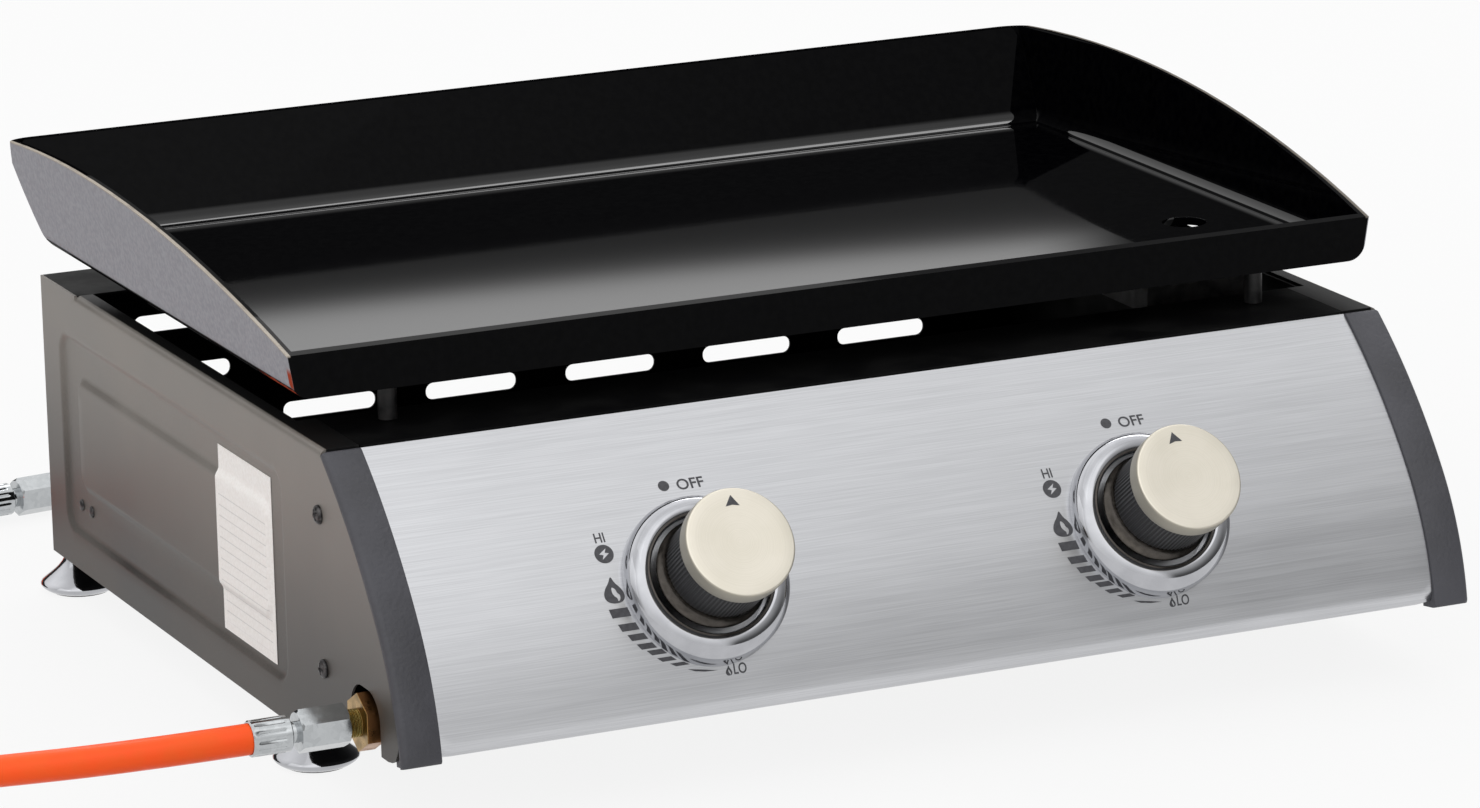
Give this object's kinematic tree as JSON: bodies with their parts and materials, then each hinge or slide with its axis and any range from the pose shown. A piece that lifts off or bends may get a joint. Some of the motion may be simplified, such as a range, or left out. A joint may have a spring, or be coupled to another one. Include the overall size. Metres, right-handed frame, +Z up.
{
  "type": "tabletop gas grill",
  "caption": "Low tabletop gas griddle: enamelled plate on studs over a firebox, bowed stainless control panel with push-and-turn knobs, pressed side panels, chrome feet and a gas hose.",
  "frame": {"origin": "on the table, under the middle of the grill without its hose", "axes": "+X to the right seen from the front, +Y to the back, +Z up"},
  "size_m": [0.7899, 0.657, 0.238],
  "materials": {
    "side_paint": "satin warm grey-brown metallic paint",
    "black_sheet": "black heat-proof paint",
    "stainless": "brushed along its width",
    "cap_plastic": "finely textured",
    "chrome": "polished",
    "pad_rubber": "matt",
    "zinc": "zinc plated",
    "side_screw": "dark plated",
    "brass": "turned",
    "inlet_brass": "turned, yellow passivated thread",
    "stem_steel": "turned",
    "burner_steel": "satin",
    "ceramic": "glazed",
    "spark_plastic": "moulded",
    "lead_rubber": "silicone",
    "knob_bronze": "satin grey bronze",
    "knob_black": "ribbed",
    "knob_champagne": "satin champagne",
    "hose_rubber": "smooth orange",
    "enamel": "gloss black enamel",
    "black_fittings": "black enamel"
  },
  "bodies": {
    "casing": {"back_panel": "black_sheet", "base_plate": "black_sheet", "bezel_left": "chrome", "bezel_right": "chrome", "burner_left": "burner_steel", "burner_right": "burner_steel", "burner_stand": "zinc", "electrode_left": "ceramic", "electrode_right": "ceramic", "end_cap_left": "cap_plastic", "end_cap_right": "cap_plastic", "firebox": "black_sheet", "foot_bolts": "zinc", "foot_front_left": "chrome", "foot_front_right": "chrome", "foot_pads": "pad_rubber", "foot_rear_left": "chrome", "foot_rear_right": "chrome", "front_panel": "stainless", "front_rail": "black_sheet", "gas_hose": "hose_rubber", "gas_manifold": "zinc", "hose_ferrule_front": "zinc", "hose_ferrule_rear": "zinc", "hose_nut_front": "zinc", "hose_tail_front": "zinc", "hose_tail_rear": "zinc", "ignition_lead_left": "lead_rubber", "ignition_lead_right": "lead_rubber", "inlet_fitting": "inlet_brass", "jet_left": "brass", "jet_right": "brass", "manifold_clips": "zinc", "panel_screws": "side_screw", "side_panel_left": "side_paint", "side_panel_right": "side_paint", "side_rivets": "zinc", "spark_unit_left": "spark_plastic", "spark_unit_right": "spark_plastic", "valve_body_left": "brass", "valve_body_right": "brass"},
    "griddle": {"griddle_pan": "enamel", "griddle_studs": "black_fittings", "cup_runners": "black_fittings"},
    "grease_cup": {"grease_cup": "black_fittings"},
    "valve_plug_left": {"valve_plug_left": "brass"},
    "knob_left": {"valve_stem_left": "stem_steel", "knob_base_left": "knob_bronze", "knob_grip_left": "knob_black", "knob_face_left": "knob_champagne"},
    "valve_plug_right": {"valve_plug_right": "brass"},
    "knob_right": {"valve_stem_right": "stem_steel", "knob_base_right": "knob_bronze", "knob_grip_right": "knob_black", "knob_face_right": "knob_champagne"},
    "loose_union_nut": {"hose_nut_rear": "zinc"}
  },
  "joints": [
    {"name": "griddle_lift", "type": "slide", "parent": "casing", "child": "griddle", "axis": [0, 0, 1], "range_m": [0, 0.08]},
    {"name": "grease_cup_slide", "type": "slide", "parent": "griddle", "child": "grease_cup", "axis": [-1, 0, 0], "range_m": [0, 0.065]},
    {"name": "knob_left_turn", "type": "hinge", "parent": "casing", "child": "valve_plug_left", "pos_m": [-0.1145, -0.205, 0.097], "axis": [0, -0.8192, 0.5736], "range_deg": [0, 200]},
    {"name": "knob_left_push", "type": "slide", "parent": "valve_plug_left", "child": "knob_left", "axis": [0, 0.8192, -0.5736], "range_m": [0, 0.004], "stiffness_N_per_m": 1500, "springref_m": -0.003},
    {"name": "knob_right_turn", "type": "hinge", "parent": "casing", "child": "valve_plug_right", "pos_m": [0.1145, -0.205, 0.097], "axis": [0, -0.8192, 0.5736], "range_deg": [0, 200]},
    {"name": "knob_right_push", "type": "slide", "parent": "valve_plug_right", "child": "knob_right", "axis": [0, 0.8192, -0.5736], "range_m": [0, 0.004], "stiffness_N_per_m": 1500, "springref_m": -0.003},
    {"name": "loose_union_nut_spin", "type": "hinge", "parent": "casing", "child": "loose_union_nut", "pos_m": [-0.237, 0.3865, 0.0106], "axis": [0.991, 0.134, 0], "continuous": true}
  ]
}
